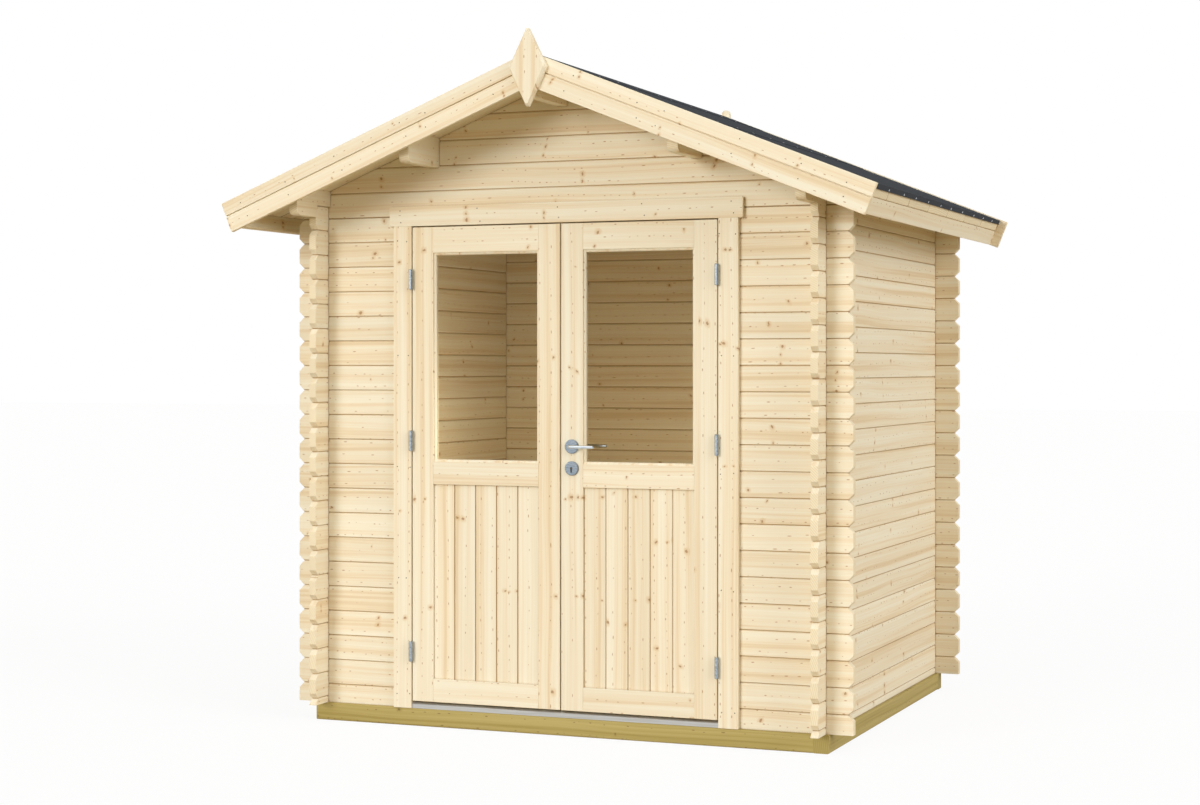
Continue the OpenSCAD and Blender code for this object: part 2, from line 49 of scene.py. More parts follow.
# Logs: the height of a course and the first joints, which the two pairs of walls have half a course apart
LOG_H = 93
base_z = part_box("front_wall_left")[0].z
gable_joint = base_z / MM + LOG_H * 3 / 4
side_joint = base_z / MM + LOG_H / 4

# Roof: its slope, the layers' heights above the underside of the boards, and the place of the ridge
ROOF_PITCH = math.radians(21.8)
FELT_T = 4 * MM
FELT_FOLD = 14 * MM
deck_low, deck_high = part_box("right_roof_boards")
felt_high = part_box("right_roof_felt")[1]
deck_t = FELT_T * (deck_high.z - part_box("ridge_purlin")[1].z) / (felt_high.z - deck_high.z)
felt_q = deck_t + FELT_T
apex_z = deck_high.z - deck_t / math.cos(ROOF_PITCH)
slope_l = (deck_high.x - deck_t * math.sin(ROOF_PITCH)) / math.cos(ROOF_PITCH)
# Height of the eave boards and the lower barge boards, which hang from the underside of the roof boards
EDGE_H = 60 * MM

# Door leaves: the glass opening and the lower panel between the stiles and rails
GLASS_GROOVE = 8 * MM
glass_low, glass_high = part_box("right_door_glass")
pane_x = (glass_low.x + GLASS_GROOVE, glass_high.x - GLASS_GROOVE)
pane_z = (glass_low.z + GLASS_GROOVE, glass_high.z - GLASS_GROOVE)
PANEL_BOARDS = 5
panel_board = (pane_x[1] - pane_x[0]) / PANEL_BOARDS


def on_slope(side, s, q, y):
    """Point on a roof slope: s runs down from the ridge, q stands square to the boards."""
    run = s * math.cos(ROOF_PITCH) + q * math.sin(ROOF_PITCH)
    return Vector((side * run, y, apex_z - s * math.sin(ROOF_PITCH) + q * math.cos(ROOF_PITCH)))


def at_ridge(q):
    """Distance along the slope at which height q meets the upright plane through the ridge."""
    return -q * math.tan(ROOF_PITCH)


def colour(code):
    """Linear colour from an sRGB hex value."""
    channels = [int(code[i:i + 2], 16) / 255 for i in (0, 2, 4)]
    return [c / 12.92 if c <= 0.04045 else ((c + 0.055) / 1.055) ** 2.4 for c in channels] + [1.0]


def add(tree, kind, inputs=None, out=0, **settings):
    """Adds a node with its settings, sets or links its inputs, and returns one output, or all for None."""
    made = tree.nodes.new(kind)
    for option, value in settings.items():
        setattr(made, option, value)
    for key, value in (inputs or {}).items():
        if isinstance(value, bpy.types.NodeSocket):
            tree.links.new(value, made.inputs[key])
        else:
            made.inputs[key].default_value = value
    return made.outputs if out is None else made.outputs[out]


# Sockets of a Mix node that mixes colours
FIRST, SECOND, MIXED = 6, 7, 2


def material(name):
    """An empty material with its tree and its surface shader."""
    made = bpy.data.materials.new(name)
    made.use_nodes = True
    made.node_tree.nodes.clear()
    output = made.node_tree.nodes.new("ShaderNodeOutputMaterial")
    shader = made.node_tree.nodes.new("ShaderNodeBsdfPrincipled")
    made.node_tree.links.new(shader.outputs[0], output.inputs["Surface"])
    return made, made.node_tree, shader


def dress(tree, shader, face, rough, bump):
    """Gives a shader its colour, roughness and relief."""
    for socket, value in (("Base Color", face), ("Roughness", rough), ("Normal", bump)):
        tree.links.new(value, shader.inputs[socket])


def cover(tree, look):
    """Makes another shader the one that a material shows."""
    output = next(node for node in tree.nodes if node.type == "OUTPUT_MATERIAL")
    tree.links.new(look, output.inputs["Surface"])


# Wood: straight-grained boards from one sawmill, so every board takes the same grain with a shift of its own

# Sizes of boards and grain are in mm: along, across and through; a size that never repeats is ANY
ANY = 1e6
# Planed spruce is creamy with faint rosy growth bands, rows of brown specks and a soft, dry surface. Its seam
# colour is painted shade, for the shadow in the joints and in the corners between pieces.
SPRUCE = {"pale": "eee8d4", "warm": "e8d9bc", "streak": "d7bf98", "knot": "8a5a2c", "speck": "a67438",
          "halo": "cda66a", "end": "ede4cc", "ring": "e2d2ae", "seam_shade": "98702e"}
# The door jambs show mostly in the narrow gaps around the leaves, so they take the same spruce with a
# browner, darker ground as painted shade for those gaps.
GAP_SHADE_SPRUCE = {**SPRUCE, "pale": "e2cfa6", "warm": "d6bb88", "streak": "c3a168", "end": "e0cb9c",
             "ring": "cfb27a"}
# Pressure-treated pine is yellow-green from its salts, with the same grain under it.
TREATED_PINE = {"pale": "b9a96f", "warm": "a69558", "streak": "907f48", "knot": "63502e", "speck": "6e5a34",
                "halo": "88763c", "end": "ab9c62", "ring": "a19156", "seam_shade": "665a34"}

# The most that one board's grain is moved against another's
BOARD_SHIFT = (4000, 170, 60)
# The grain bends slowly, and the rims of the knots are frayed: the length of a bend and its reach
BEND_LENGTH = 700
BEND_REACH = (420, 26, 0)
FRAY_LENGTH = 9
FRAY_REACH = (7, 7, 0)
# Knots sit in whorls across the board; specks are short dashes in rows along it
KNOTS = {"spacing": (430, 24, ANY), "scatter": (30, 16, 0), "radius": 7.0, "shape": (1.1, 0.9, 0)}
SPECKS = {"spacing": (40, 46, ANY), "scatter": (38, 6, 0), "radius": 2.6, "shape": (0.38, 1.1, 0)}
SPECK_SHARE = 0.62
# The smallest mark of a kind as a share of its largest, and the middle of a mark's cell
SMALLEST_MARK = 0.4
HALF_CELL = (0.5, 0.5, 0.5)
# The grain runs around a knot
KNOT_PUSH = (0, -0.6, 0)
# Growth bands, rings and fibres: length, width and detail; the fibres are drawn wide so that they show
STREAKS = ((2400, 34, 1.0), (1300, 9, 2.0), (260, 4, 2.0))
# How much the rings and the fibres add to the bands
RING_SHARE = 0.6
FIBRE_SHARE = 0.3
# The heart lies a little to one side of a board's middle, at this share of its width
HEART = 0.38
# The wave node's unit on a sawn end, which draws rings about 7 mm wide, and a ripple's length in such units
ARC_UNIT = 22
ARC_RIPPLE = 9
# How strongly the stain around a knot, the knot and the specks show
MARK_DEPTHS = {"halo": 0.42, "knot": 0.62, "speck": 0.7}
# How much the ridges of the grain stand out
GRAIN_RELIEF = 0.5 * MM
# How far the painted shade reaches in a corner between two pieces
CORNER_SHADE = 10 * MM


def grain_frame(tree, source, order, mirrored, pitch):
    """Turns a vector so that X runs along the grain, Y across the face and Z through the board."""
    if mirrored:
        sides = add(tree, "ShaderNodeSeparateXYZ", {0: source}, out=None)
        away = add(tree, "ShaderNodeMath", {0: sides["X"]}, operation="ABSOLUTE")
        source = add(tree, "ShaderNodeCombineXYZ", {0: away, 1: sides["Y"], 2: sides["Z"]})
    if pitch:
        source = add(tree, "ShaderNodeVectorRotate", {"Vector": source, "Angle": -pitch},
                     rotation_type="Y_AXIS")
    axes = add(tree, "ShaderNodeSeparateXYZ", {0: source}, out=None)
    return add(tree, "ShaderNodeCombineXYZ", {i: axes[letter] for i, letter in enumerate(order)})


def spots(tree, grain, spacing, scatter, radius, share, shape):
    """Marks in loose rows: their strength, the stain around them and the push that bends the grain.

    share of the places hold a mark; shape squeezes it along and across the grain."""
    cell = add(tree, "ShaderNodeVectorMath", {0: grain, 1: spacing}, operation="DIVIDE")
    home = add(tree, "ShaderNodeVectorMath", {0: cell}, operation="FLOOR")
    pick = add(tree, "ShaderNodeTexWhiteNoise", {"Vector": home}, out=None, noise_dimensions="3D")
    middle = add(tree, "ShaderNodeVectorMath", {0: home, 1: HALF_CELL}, operation="ADD")
    centre = add(tree, "ShaderNodeVectorMath", {0: middle, 1: spacing}, operation="MULTIPLY")
    stray = add(tree, "ShaderNodeVectorMath", {0: pick["Color"], 1: HALF_CELL}, operation="SUBTRACT")
    place = add(tree, "ShaderNodeVectorMath", {0: stray, 1: scatter, 2: centre}, operation="MULTIPLY_ADD")
    away = add(tree, "ShaderNodeVectorMath", {0: grain, 1: place}, operation="SUBTRACT")
    flat = add(tree, "ShaderNodeVectorMath", {0: away, 1: shape}, operation="MULTIPLY")
    distance = add(tree, "ShaderNodeVectorMath", {0: flat}, out="Value", operation="LENGTH")
    size = add(tree, "ShaderNodeMapRange", {"Value": pick["Value"], "From Max": share,
                                            "To Min": radius * SMALLEST_MARK, "To Max": radius})
    present = add(tree, "ShaderNodeMath", {0: pick["Value"], 1: share}, operation="LESS_THAN")
    near = add(tree, "ShaderNodeMath", {0: distance, 1: size}, operation="DIVIDE")
    core = add(tree, "ShaderNodeMapRange", {"Value": near, "From Min": 0.5, "From Max": 1.05, "To Min": 1.0,
                                            "To Max": 0.0}, interpolation_type="SMOOTHSTEP")
    reach = add(tree, "ShaderNodeMapRange", {"Value": near, "From Min": 0.5, "From Max": 3.4, "To Min": 1.0,
                                             "To Max": 0.0}, interpolation_type="SMOOTHSTEP")
    strength = add(tree, "ShaderNodeMath", {0: core, 1: present}, operation="MULTIPLY")
    around = add(tree, "ShaderNodeMath", {0: reach, 1: present}, operation="MULTIPLY")
    push = add(tree, "ShaderNodeVectorMath", {0: away, "Scale": around}, operation="SCALE")
    return strength, around, push


def wood(name, order, board, first=(0, 0, 0), mirrored=False, pitch=0.0, seam_shade=0.0, tints=SPRUCE, knots=0.3):
    """Planed wood. order names the axes along, across and through the board; board is its size in mm.

    mirrored gives the two sides of the shed boards of their own; seam is half the width in mm of the
    shadow line drawn in the closed joint between two boards; knots is the share of places with a knot."""
    made, tree, shader = material(name)
    spot = add(tree, "ShaderNodeTexCoord", out=None)
    in_mm = add(tree, "ShaderNodeVectorMath", {0: spot["Object"], "Scale": 1 / MM}, operation="SCALE")
    grain = grain_frame(tree, in_mm, order, mirrored, pitch)
    facing = grain_frame(tree, spot["Normal"], order, mirrored, pitch)

    # Each board has a random shift, so that no two show the same stretch of grain
    start = [edge - size / 2 if size == ANY else edge for edge, size in zip(first, board)]
    offset = add(tree, "ShaderNodeVectorMath", {0: grain, 1: start}, operation="SUBTRACT")
    boards = add(tree, "ShaderNodeVectorMath", {0: offset, 1: board}, operation="DIVIDE")
    number = add(tree, "ShaderNodeVectorMath", {0: boards}, operation="FLOOR")
    if mirrored:
        side = add(tree, "ShaderNodeSeparateXYZ", {0: in_mm}, out="X")
        on_right = add(tree, "ShaderNodeMath", {0: side, 1: 0.0}, operation="GREATER_THAN")
        number = add(tree, "ShaderNodeVectorMath", {0: number, 1: on_right}, operation="ADD")
    own = add(tree, "ShaderNodeTexWhiteNoise", {"Vector": number}, out=None, noise_dimensions="3D")
    moved = add(tree, "ShaderNodeVectorMath", {0: own["Color"], 1: BOARD_SHIFT, 2: grain},
                operation="MULTIPLY_ADD")

    # Knots and specks, and the grain that bends around the knots
    bend = add(tree, "ShaderNodeTexNoise", {"Vector": moved, "Scale": 1 / BEND_LENGTH, "Detail": 1.0})
    warp = add(tree, "ShaderNodeVectorMath", {0: BEND_REACH, "Scale": bend}, operation="SCALE")
    warped = add(tree, "ShaderNodeVectorMath", {0: moved, 1: warp}, operation="ADD")
    ragged = add(tree, "ShaderNodeTexNoise", {"Vector": moved, "Scale": 1 / FRAY_LENGTH, "Detail": 1.0},
                 out="Color")
    frayed = add(tree, "ShaderNodeVectorMath", {0: ragged, 1: FRAY_REACH, 2: warped},
                 operation="MULTIPLY_ADD")
    knot, halo, push = spots(tree, frayed, share=knots, **KNOTS)
    speck, _, _ = spots(tree, warped, share=SPECK_SHARE, **SPECKS)
    bent = add(tree, "ShaderNodeVectorMath", {0: push, 1: KNOT_PUSH, 2: warped}, operation="MULTIPLY_ADD")

    # Growth bands, rings and fibres
    streaks = []
    for length, width, detail in STREAKS:
        drawn = add(tree, "ShaderNodeVectorMath", {0: bent, 1: (1 / length, 1 / width, 1 / width)},
                    operation="MULTIPLY")
        streaks.append(add(tree, "ShaderNodeTexNoise", {"Vector": drawn, "Scale": 1.0, "Detail": detail}))
    band, ring, fibre = streaks
    fine = add(tree, "ShaderNodeMath", {0: ring, 1: RING_SHARE, 2: band}, operation="MULTIPLY_ADD")
    tone = add(tree, "ShaderNodeMath", {0: fibre, 1: FIBRE_SHARE, 2: fine}, operation="MULTIPLY_ADD")
    if seam_shade:
        # The heart of a board is the rosiest
        across = add(tree, "ShaderNodeSeparateXYZ", {0: boards}, out="Y")
        share = add(tree, "ShaderNodeMath", {0: across}, operation="FRACT")
        from_heart = add(tree, "ShaderNodeMath", {0: share, 1: HEART}, operation="SUBTRACT")
        off = add(tree, "ShaderNodeMath", {0: from_heart}, operation="ABSOLUTE")
        heart = add(tree, "ShaderNodeMapRange", {"Value": off, "From Min": 0.04, "From Max": 0.3,
                                                 "To Min": 0.04, "To Max": 0.0},
                    interpolation_type="SMOOTHSTEP")
        tone = add(tree, "ShaderNodeMath", {0: tone, 1: heart}, operation="SUBTRACT")
    rosy = add(tree, "ShaderNodeMapRange", {"Value": tone, "From Min": 1.16, "From Max": 0.78})
    darker = add(tree, "ShaderNodeMapRange", {"Value": tone, "From Min": 0.86, "From Max": 0.66,
                                              "To Max": 0.5})
    face = add(tree, "ShaderNodeMix", {0: rosy, FIRST: colour(tints["pale"]), SECOND: colour(tints["warm"])},
               out=MIXED, data_type="RGBA")
    face = add(tree, "ShaderNodeMix", {0: darker, FIRST: face, SECOND: colour(tints["streak"])},
               out=MIXED, data_type="RGBA")

    # Sawn ends show the rings as arcs around a heart below the board
    lengthwise = add(tree, "ShaderNodeSeparateXYZ", {0: facing}, out="X")
    endness = add(tree, "ShaderNodeMath", {0: lengthwise}, operation="ABSOLUTE")
    end = add(tree, "ShaderNodeMapRange", {"Value": endness, "From Min": 0.6, "From Max": 0.92},
              interpolation_type="SMOOTHSTEP")
    arcs = add(tree, "ShaderNodeVectorMath", {0: moved, 1: (0, 1, 1)}, operation="MULTIPLY")
    arc = add(tree, "ShaderNodeTexWave", {"Vector": arcs, "Scale": 1 / ARC_UNIT, "Distortion": 2.5,
                                          "Detail": 2.0, "Detail Scale": 1 / ARC_RIPPLE},
              out="Fac", wave_type="RINGS", rings_direction="X")
    sawn = add(tree, "ShaderNodeMix", {0: arc, FIRST: colour(tints["end"]), SECOND: colour(tints["ring"])},
               out=MIXED, data_type="RGBA")
    face = add(tree, "ShaderNodeMix", {0: end, FIRST: face, SECOND: sawn}, out=MIXED, data_type="RGBA")

    # Knots are brown in an orange stain, and specks are brown too
    on_face = add(tree, "ShaderNodeMath", {0: 1.0, 1: end}, operation="SUBTRACT")
    for code, mark in (("halo", halo), ("knot", knot), ("speck", speck)):
        shown = add(tree, "ShaderNodeMath", {0: mark, 1: on_face}, operation="MULTIPLY")
        faded = add(tree, "ShaderNodeMath", {0: shown, 1: MARK_DEPTHS[code]}, operation="MULTIPLY")
        face = add(tree, "ShaderNodeMix", {0: faded, FIRST: face, SECOND: colour(tints[code])},
                   out=MIXED, data_type="RGBA")

    # Boards differ a little in lightness
    shade = add(tree, "ShaderNodeMapRange", {"Value": own["Value"], "To Min": 0.97, "To Max": 1.03})
    face = add(tree, "ShaderNodeMix", {0: 1.0, FIRST: face, SECOND: shade}, out=MIXED, data_type="RGBA",
               blend_type="MULTIPLY")
    height = add(tree, "ShaderNodeMath", {0: ring, 1: fibre}, operation="ADD")
    if seam_shade:
        # Painted shade: the dark line in the seam colour lies just above the joint, where the upper board
        # shades it
        half = seam_shade / board[1]
        under = add(tree, "ShaderNodeMath", {0: across, 1: half}, operation="SUBTRACT")
        to_joint = add(tree, "ShaderNodeMath", {0: under, 1: 0.5}, operation="PINGPONG")
        line = add(tree, "ShaderNodeMapRange", {"Value": to_joint, "From Min": 0.5 * half,
                                                "From Max": 1.5 * half, "To Min": 0.8, "To Max": 0.0},
                   interpolation_type="SMOOTHSTEP")
        face = add(tree, "ShaderNodeMix", {0: line, FIRST: face, SECOND: colour(tints["seam_shade"])},
                   out=MIXED, data_type="RGBA")
        height = add(tree, "ShaderNodeMath", {0: height, 1: line}, operation="SUBTRACT")
        # Painted shade: the colour darkens towards the seam colour in the corners where another piece stands
        # on the boards, as ambient occlusion finds them
        open_side = add(tree, "ShaderNodeAmbientOcclusion", {"Distance": CORNER_SHADE}, out="AO", samples=4)
        painted_corner_shade = add(tree, "ShaderNodeMapRange", {"Value": open_side, "From Min": 0.4, "From Max": 0.8,
                                                  "To Min": 0.6, "To Max": 0.0})
        face = add(tree, "ShaderNodeMix", {0: painted_corner_shade, FIRST: face, SECOND: colour(tints["seam_shade"])},
                   out=MIXED, data_type="RGBA")
    rough = add(tree, "ShaderNodeMapRange", {"Value": fibre, "To Min": 0.52, "To Max": 0.78})
    bump = add(tree, "ShaderNodeBump", {"Strength": 0.3, "Distance": GRAIN_RELIEF, "Height": height})
    dress(tree, shader, face, rough, bump)
    shader.inputs["Specular IOR Level"].default_value = 0.2
    return made


# Slate chips are about 2 mm wide, and are drawn wider so that they show; worn patches are soft clouds
CHIP_W = 5 * MM
CHIP_RELIEF = 1.2 * MM
WORN_W = 160 * MM


def roofing_felt():
    """Bitumen felt faced with slate chips: charcoal, matt and gritty."""
    made, tree, shader = material("slate_chip_roofing_felt")
    place = add(tree, "ShaderNodeTexCoord", out="Object")
    chips = add(tree, "ShaderNodeTexVoronoi", {"Vector": place, "Scale": 1 / CHIP_W}, out=None)
    chip = add(tree, "ShaderNodeSeparateColor", {0: chips["Color"]}, out="Red")
    cloud = add(tree, "ShaderNodeTexNoise", {"Vector": place, "Scale": 1 / WORN_W, "Detail": 4.0})
    pale = add(tree, "ShaderNodeMapRange", {"Value": chip, "From Min": 0.35, "From Max": 1.0, "To Max": 0.6})
    face = add(tree, "ShaderNodeMix", {0: pale, FIRST: colour("252a31"), SECOND: colour("41474e")},
               out=MIXED, data_type="RGBA")
    worn = add(tree, "ShaderNodeMapRange", {"Value": cloud, "From Min": 0.4, "From Max": 0.75,
                                            "To Max": 0.35})
    face = add(tree, "ShaderNodeMix", {0: worn, FIRST: face, SECOND: colour("333940")},
               out=MIXED, data_type="RGBA")
    rough = add(tree, "ShaderNodeMapRange", {"Value": chip, "To Min": 0.78, "To Max": 0.98})
    bump = add(tree, "ShaderNodeBump", {"Strength": 0.6, "Distance": CHIP_RELIEF,
                                        "Height": chips["Distance"]})
    dress(tree, shader, face, rough, bump)
    return made


# How much a metal's roughness varies, and how deep its worked surface is
ROUGH_PLAY = 0.1
METAL_RELIEF = 0.2 * MM
# A surface that is brushed or drawn along X has its pattern stretched that way
BRUSHED = (0.1, 1, 1)
DRAWN = (0.02, 1, 1)


def metal(name, base, tint, rough, streak, turn=(1, 1, 1)):
    """A metal with a worked surface: streak is its pattern's size in mm, turn stretches it along an axis."""
    made, tree, shader = material(name)
    place = add(tree, "ShaderNodeTexCoord", out="Object")
    drawn = add(tree, "ShaderNodeVectorMath", {0: place, 1: [t / (streak * MM) for t in turn]},
                operation="MULTIPLY")
    worked = add(tree, "ShaderNodeTexNoise", {"Vector": drawn, "Scale": 1.0, "Detail": 3.0})
    share = add(tree, "ShaderNodeMapRange", {"Value": worked, "From Min": 0.35, "From Max": 0.65})
    face = add(tree, "ShaderNodeMix", {0: share, FIRST: colour(base), SECOND: colour(tint)},
               out=MIXED, data_type="RGBA")
    dull = add(tree, "ShaderNodeMapRange", {"Value": worked, "To Min": rough - ROUGH_PLAY,
                                            "To Max": rough + ROUGH_PLAY})
    bump = add(tree, "ShaderNodeBump", {"Strength": 0.15, "Distance": METAL_RELIEF, "Height": worked})
    dress(tree, shader, face, dull, bump)
    shader.inputs["Metallic"].default_value = 1.0
    return made


# Well under the 1.5 of glass, because the panes show the room and hardly a reflection
RIM_IOR = 1.15


def window_glass():
    """Clear float glass: nearly all light goes through, and at a flat angle a little is mirrored."""
    made, tree, shader = material("clear_float_glass")
    clear = add(tree, "ShaderNodeBsdfTransparent", {0: colour("f6f6f4")})
    shine = add(tree, "ShaderNodeBsdfGlossy", {"Color": colour("ffffff"), "Roughness": 0.02})
    rim = add(tree, "ShaderNodeFresnel", {"IOR": RIM_IOR})
    # Light that is inside the pane leaves it freely
    inside = add(tree, "ShaderNodeNewGeometry", out="Backfacing")
    outside = add(tree, "ShaderNodeMath", {0: 1.0, 1: inside}, operation="SUBTRACT")
    mirrored = add(tree, "ShaderNodeMath", {0: rim, 1: outside}, operation="MULTIPLY")
    mixed = add(tree, "ShaderNodeMixShader", {0: mirrored, 1: clear, 2: shine})
    tree.nodes.remove(shader)
    cover(tree, mixed)
    return made


# Roof boards come in tight groups of three, and the joints between the groups show
ROOF_GROUPS = 7
GROUP_BOARDS = 3
roof_group = (deck_high.y - deck_low.y) / ROOF_GROUPS
roof_board = roof_group / GROUP_BOARDS
FLOOR_BOARDS = 18
FLOOR_PLAY = 2 * MM
floor_low, floor_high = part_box("floor_boards")
jamb_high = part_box("door_jambs")[1]
floor_y = jamb_high.y + FLOOR_PLAY
floor_board = (floor_high.y - floor_y) / FLOOR_BOARDS
# Where the underside of the roof boards lies across the slope, in mm: the two rows of barge boards meet there
across_slope = apex_z / MM * math.cos(ROOF_PITCH)
# Half the width in mm of the painted shadow lines between logs or boards
SEAM = 1.3
# Widths in mm of the cells that tell the pieces of one finish apart, so that each has grain of its own
SIDE_CELL = 900
BEAM_CELL = 300
RAIL_CELL = 250
HEAD_CELL = 600
# Stiles and casings start inside the leaf's meeting edge, so that no edge lies on the border of a cell
UPRIGHT_CELL = 100
UPRIGHT_START = 2

gable_logs = wood("planed_spruce_gable_logs", "XZY", (ANY, LOG_H, SIDE_CELL), (0, gable_joint, 0), seam_shade=SEAM)
side_logs = wood("planed_spruce_side_logs", "YZX", (ANY, LOG_H, SIDE_CELL), (0, side_joint, 0), seam_shade=SEAM,
                 knots=0.22)
long_beams = wood("planed_spruce_beams", "YZX", (ANY, ANY, BEAM_CELL), (0, 0, -BEAM_CELL / 2))
sloping_boards = wood("planed_spruce_barge_boards", "XZY", (ANY, EDGE_H / MM, SIDE_CELL),
                      (0, across_slope, 0), mirrored=True, pitch=ROOF_PITCH)
roof_planks = wood("planed_spruce_roof_boards", "XYZ", (ANY, roof_group / MM, ANY), (0, deck_low.y / MM, 0),
                   mirrored=True, pitch=ROOF_PITCH, seam_shade=SEAM, knots=0.25)
floor_planks = wood("planed_spruce_floor", "XYZ", (ANY, floor_board / MM, ANY), (0, floor_y / MM, 0),
                    knots=0.25)
uprights = wood("planed_spruce_uprights", "ZXY", (ANY, UPRIGHT_CELL, ANY), (0, UPRIGHT_START, 0),
                mirrored=True)
finial_wood = wood("planed_spruce_finials", "ZXY", (ANY, ANY, SIDE_CELL), knots=0.2)
# The jambs wear the browner copy of the spruce: painted shade for the gaps around the leaves
jamb_wood = wood("planed_spruce_jambs", "ZXY", (ANY, SIDE_CELL, ANY), mirrored=True, tints=GAP_SHADE_SPRUCE)
crosspieces = wood("planed_spruce_rails", "XZY", (ANY, RAIL_CELL, ANY), mirrored=True)
head_wood = wood("planed_spruce_head", "XZY", (ANY, HEAD_CELL, ANY))
panel_wood = wood("planed_spruce_panel_boards", "ZXY", (ANY, panel_board / MM, ANY), (0, pane_x[0] / MM, 0),
                  mirrored=True, seam_shade=SEAM, knots=0.25)
treated_across = wood("treated_pine_cross_beams", "XZY", (ANY, ANY, SIDE_CELL), tints=TREATED_PINE, knots=0.2)
treated_along = wood("treated_pine_long_beams", "YZX", (ANY, ANY, BEAM_CELL), (0, 0, -BEAM_CELL / 2),
                     tints=TREATED_PINE, knots=0.2)
felt = roofing_felt()
# Zinc plating is blue-grey with soft cloudy patches
zinc = metal("zinc_plated_steel", "939da5", "b5bdc2", rough=0.24, streak=7)
# Hot-dipped clout nails are brighter
clout_zinc = metal("galvanised_clout_nails", "c9cdd0", "e0e3e5", rough=0.35, streak=3)
# Blackened nails are dull and brownish
nail_steel = metal("blackened_steel_nails", "4a4034", "655848", rough=0.55, streak=3)
# Satin steel is finely brushed from side to side
satin = metal("satin_steel", "7d8790", "98a2aa", rough=0.26, streak=2, turn=BRUSHED)
# The lever is the same satin steel, brushed along its length, in a lighter colour that paints in the bright
# reflection it shows
satin_painted_reflection = metal("satin_steel_painted_reflection", "b4bcc2", "ccd2d6", rough=0.2, streak=2, turn=BRUSHED)
# Anodised aluminium is pale and even, drawn along its length
aluminium = metal("anodised_aluminium", "aeaca6", "bfbdb8", rough=0.45, streak=3, turn=DRAWN)
glass = window_glass()

FINISHES = {
    gable_logs: ["front_wall_left", "front_wall_right", "front_gable", "back_wall"],
    side_logs: ["left_wall", "right_wall"],
    long_beams: ["left_wall_plate", "right_wall_plate", "left_purlin", "ridge_purlin", "right_purlin",
                 "left_eave_board", "right_eave_board"],
    sloping_boards: ["front_upper_barge_boards", "front_lower_barge_boards", "back_upper_barge_boards",
                     "back_lower_barge_boards"],
    uprights: ["door_side_casings", "left_door_stiles", "right_door_stiles"],
    finial_wood: ["front_finial", "back_finial"],
    jamb_wood: ["door_jambs"],
    crosspieces: ["left_door_rails", "right_door_rails"],
    head_wood: ["door_head", "door_head_casing"],
    panel_wood: ["left_door_boards", "right_door_boards"],
    treated_across: ["foundation_front", "foundation_back"],
    treated_along: ["foundation_left", "foundation_right", "floor_joists"],
    felt: ["left_roof_felt", "right_roof_felt"],
    zinc: ["hinge_frame_halves", "left_door_hinge_halves", "right_door_hinge_halves"],
    satin: ["lock_roses"],
    satin_painted_reflection: ["door_lever"],
    aluminium: ["door_threshold"],
    glass: ["left_door_glass", "right_door_glass"],
}
for finish, names in FINISHES.items():
    for name in names:
        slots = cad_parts[name].material_slots
        if not slots:
            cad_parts[name].data.materials.append(finish)
        for slot in slots:
            slot.material = finish

# Logs and boards lose their sharp edges, as planed timber does
EASED = (gable_logs, side_logs, long_beams, sloping_boards, uprights, jamb_wood, crosspieces, head_wood)
EDGE_ROUND = 1.5 * MM
SHARP_EDGE = math.radians(40)
SAME_POINT = 0.01 * MM
for finish in EASED:
    for name in FINISHES[finish]:
        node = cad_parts[name]
        node.modifiers.new("joined_faces", "WELD").merge_threshold = SAME_POINT
        eased = node.modifiers.new("eased_edges", "BEVEL")
        eased.width = EDGE_ROUND
        eased.segments = 2
        eased.limit_method = "ANGLE"
        eased.angle_limit = SHARP_EDGE


def loft(rings, closed=False):
    """A mesh through rings of points: a tube with capped ends, or a closed frame."""
    shape = bmesh.new()
    made = [[shape.verts.new(p) for p in ring] for ring in rings]
    pairs = list(zip(made, made[1:] + made[:1])) if closed else list(zip(made, made[1:]))
    for one, two in pairs:
        for i in range(len(one)):
            j = (i + 1) % len(one)
            shape.faces.new((one[i], one[j], two[j], two[i]))
    if not closed:
        shape.faces.new(made[0])
        shape.faces.new(made[-1])
    bmesh.ops.recalc_face_normals(shape, faces=shape.faces)
    mesh = bpy.data.meshes.new("shape")
    shape.to_mesh(mesh)
    shape.free()
    return mesh


def joined(meshes):
    """One mesh of several."""
    shape = bmesh.new()
    for mesh in meshes:
        shape.from_mesh(mesh)
    whole = bpy.data.meshes.new("shape")
    shape.to_mesh(whole)
    shape.free()
    return whole


def piece(name, mesh, finish, body, stands_for=()):
    """A finished piece that rides on a body and takes the finish it is given."""
    made = bpy.data.objects.new(name, mesh)
    bpy.context.scene.collection.objects.link(made)
    mesh.name = name
    mesh.materials.clear()
    mesh.materials.append(finish)
    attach(made, body)
    if stands_for:
        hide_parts(*stands_for)
    return made


def tree_with(name, sockets):
    """An empty geometry tree with named inputs, and the outputs of its input node."""
    tree = bpy.data.node_groups.new(name, "GeometryNodeTree")
    for label, kind in sockets:
        tree.interface.new_socket(label, in_out="INPUT", socket_type="NodeSocket" + kind)
    tree.interface.new_socket("Geometry", in_out="OUTPUT", socket_type="NodeSocketGeometry")
    return tree, add(tree, "NodeGroupInput", out=None)


